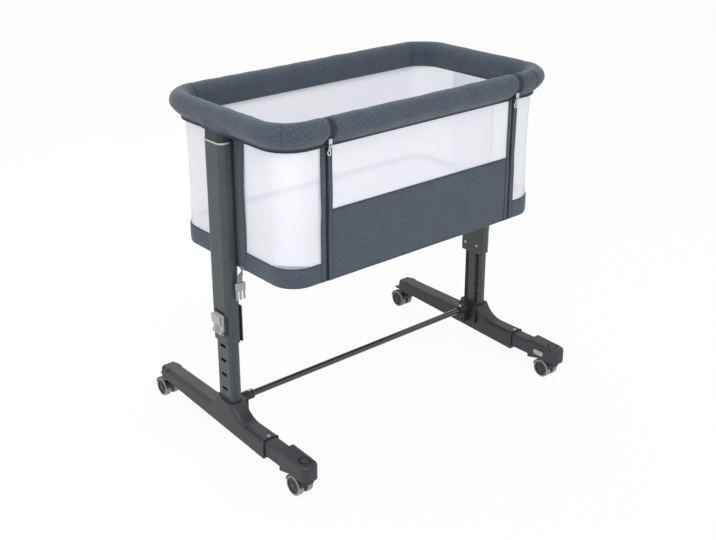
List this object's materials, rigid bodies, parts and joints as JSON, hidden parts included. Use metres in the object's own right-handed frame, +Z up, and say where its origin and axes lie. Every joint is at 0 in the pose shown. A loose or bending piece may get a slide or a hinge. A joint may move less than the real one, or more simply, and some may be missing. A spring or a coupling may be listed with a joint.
{
  "type": "bedside sleeper crib",
  "caption": "Bedside baby sleeper with a padded rim, mesh and linen body, a fold-down side, height-adjustable columns and caster feet that telescope.",
  "frame": {"origin": "on the floor, midway between the columns and near the middle of the feet", "axes": "+X along the crib, -Y towards the side that folds down, +Z up"},
  "size_m": [0.8942, 0.6455, 0.842],
  "materials": {
    "slate_linen": "heathered plain weave",
    "white_mesh": "open knitted net",
    "mattress_cover": "smooth knit",
    "zip_tape": "woven tape",
    "webbing": "woven strap",
    "dark_plastic": "fine moulded grain",
    "column_paint": "satin powder coat",
    "bar_paint": "gloss lacquer",
    "light_plastic": "fine moulded grain",
    "zinc": "bright plated",
    "silver_ring": "satin",
    "tyre_rubber": "soft grey tread",
    "rim_steel": "grey primer",
    "board": "hardboard"
  },
  "bodies": {
    "base": {"foot_casing_left": "dark_plastic", "foot_casing_right": "dark_plastic", "rear_end_caps": "dark_plastic", "inner_column_left": "column_paint", "inner_column_right": "column_paint", "cross_bar": "bar_paint", "bar_brackets": "dark_plastic", "base_screws": "zinc"},
    "crib": {"sleeve_left": "column_paint", "sleeve_right": "column_paint", "column_heads": "dark_plastic", "trim_rings": "silver_ring", "guide_plates": "dark_plastic", "guide_screws": "zinc", "lever_pins": "zinc", "rim_tube": "rim_steel", "rim_pad": "slate_linen", "lower_band": "slate_linen", "base_board": "board", "mattress": "mattress_cover", "mesh_walls": "white_mesh", "end_strips": "slate_linen", "zip_tapes": "zip_tape", "bed_strap": "webbing", "strap_buckle": "light_plastic"},
    "drop_side": {"drop_rail": "rim_steel", "drop_rail_pad": "slate_linen", "drop_mesh": "white_mesh", "drop_panel": "slate_linen"},
    "extension_left": {"foot_extension_left": "dark_plastic", "front_end_cap_left": "dark_plastic"},
    "extension_button_left": {"extension_button_left": "light_plastic"},
    "release_lever_left": {"release_lever_left": "light_plastic"},
    "lock_pin_left": {"lock_pin_left": "zinc"},
    "zip_slider_left": {"zip_slider_left": "zinc"},
    "brake_lever_left": {"brake_lever_left": "dark_plastic"},
    "caster_front_left": {"caster_housing_front_left": "dark_plastic", "caster_pins_front_left": "zinc"},
    "wheels_front_left": {"wheel_hubs_front_left": "dark_plastic", "tyres_front_left": "tyre_rubber"},
    "caster_rear_left": {"caster_housing_rear_left": "dark_plastic", "caster_pins_rear_left": "zinc"},
    "wheels_rear_left": {"wheel_hubs_rear_left": "dark_plastic", "tyres_rear_left": "tyre_rubber"},
    "extension_right": {"foot_extension_right": "dark_plastic", "front_end_cap_right": "dark_plastic"},
    "extension_button_right": {"extension_button_right": "light_plastic"},
    "release_lever_right": {"release_lever_right": "light_plastic"},
    "lock_pin_right": {"lock_pin_right": "zinc"},
    "zip_slider_right": {"zip_slider_right": "zinc"},
    "brake_lever_right": {"brake_lever_right": "dark_plastic"},
    "caster_front_right": {"caster_housing_front_right": "dark_plastic", "caster_pins_front_right": "zinc"},
    "wheels_front_right": {"wheel_hubs_front_right": "dark_plastic", "tyres_front_right": "tyre_rubber"},
    "caster_rear_right": {"caster_housing_rear_right": "dark_plastic", "caster_pins_rear_right": "zinc"},
    "wheels_rear_right": {"wheel_hubs_rear_right": "dark_plastic", "tyres_rear_right": "tyre_rubber"}
  },
  "joints": [
    {"name": "height_adjust", "type": "slide", "parent": "base", "child": "crib", "axis": [0, 0, 1], "range_m": [-0.152, 0]},
    {"name": "extend_left", "type": "slide", "parent": "base", "child": "extension_left", "axis": [0, -1, 0], "range_m": [-0.06, 0]},
    {"name": "press_button_left", "type": "slide", "parent": "extension_left", "child": "extension_button_left", "axis": [-1, 0, 0], "range_m": [0, 0.003], "stiffness_N_per_m": 400},
    {"name": "pull_lever_left", "type": "hinge", "parent": "crib", "child": "release_lever_left", "pos_m": [-0.4425, 0, 0.305], "axis": [0, -1, 0], "range_deg": [0, 12], "stiffness_Nm_per_rad": 0.6},
    {"name": "lock_left", "type": "slide", "parent": "crib", "child": "lock_pin_left", "axis": [-1, 0, 0], "range_m": [0, 0.005]},
    {"name": "zip_left", "type": "slide", "parent": "crib", "child": "zip_slider_left", "axis": [0, 0, -1], "range_m": [0, 0.285]},
    {"name": "swivel_front_left", "type": "hinge", "parent": "extension_left", "child": "caster_front_left", "pos_m": [-0.4185, -0.29, 0.05], "axis": [0, 0, 1], "continuous": true},
    {"name": "roll_front_left", "type": "hinge", "parent": "caster_front_left", "child": "wheels_front_left", "pos_m": [-0.4185, -0.27, 0.024], "axis": [1, 0, 0], "continuous": true},
    {"name": "swivel_rear_left", "type": "hinge", "parent": "base", "child": "caster_rear_left", "pos_m": [-0.4185, 0.281, 0.05], "axis": [0, 0, 1], "continuous": true},
    {"name": "roll_rear_left", "type": "hinge", "parent": "caster_rear_left", "child": "wheels_rear_left", "pos_m": [-0.4185, 0.301, 0.024], "axis": [1, 0, 0], "continuous": true},
    {"name": "brake_left", "type": "hinge", "parent": "caster_rear_left", "child": "brake_lever_left", "pos_m": [-0.4185, 0.297, 0.047], "axis": [1, 0, 0], "range_deg": [-10, 0]},
    {"name": "extend_right", "type": "slide", "parent": "base", "child": "extension_right", "axis": [0, -1, 0], "range_m": [-0.06, 0]},
    {"name": "press_button_right", "type": "slide", "parent": "extension_right", "child": "extension_button_right", "axis": [1, 0, 0], "range_m": [0, 0.003], "stiffness_N_per_m": 400},
    {"name": "pull_lever_right", "type": "hinge", "parent": "crib", "child": "release_lever_right", "pos_m": [0.4425, 0, 0.305], "axis": [0, 1, 0], "range_deg": [0, 12], "stiffness_Nm_per_rad": 0.6},
    {"name": "lock_right", "type": "slide", "parent": "crib", "child": "lock_pin_right", "axis": [1, 0, 0], "range_m": [0, 0.005]},
    {"name": "zip_right", "type": "slide", "parent": "crib", "child": "zip_slider_right", "axis": [0, 0, -1], "range_m": [0, 0.285]},
    {"name": "swivel_front_right", "type": "hinge", "parent": "extension_right", "child": "caster_front_right", "pos_m": [0.4185, -0.29, 0.05], "axis": [0, 0, 1], "continuous": true},
    {"name": "roll_front_right", "type": "hinge", "parent": "caster_front_right", "child": "wheels_front_right", "pos_m": [0.4185, -0.27, 0.024], "axis": [1, 0, 0], "continuous": true},
    {"name": "swivel_rear_right", "type": "hinge", "parent": "base", "child": "caster_rear_right", "pos_m": [0.4185, 0.281, 0.05], "axis": [0, 0, 1], "continuous": true},
    {"name": "roll_rear_right", "type": "hinge", "parent": "caster_rear_right", "child": "wheels_rear_right", "pos_m": [0.4185, 0.301, 0.024], "axis": [1, 0, 0], "continuous": true},
    {"name": "brake_right", "type": "hinge", "parent": "caster_rear_right", "child": "brake_lever_right", "pos_m": [0.4185, 0.297, 0.047], "axis": [1, 0, 0], "range_deg": [-10, 0]},
    {"name": "fold_down_side", "type": "hinge", "parent": "crib", "child": "drop_side", "pos_m": [0, -0.222, 0.467], "axis": [1, 0, 0], "range_deg": [0, 175]}
  ],
  "couplings": [
    {"joint": "lock_left", "follows": "pull_lever_left", "m_per_rad": 0.02387},
    {"joint": "lock_right", "follows": "pull_lever_right", "m_per_rad": 0.02387}
  ]
}
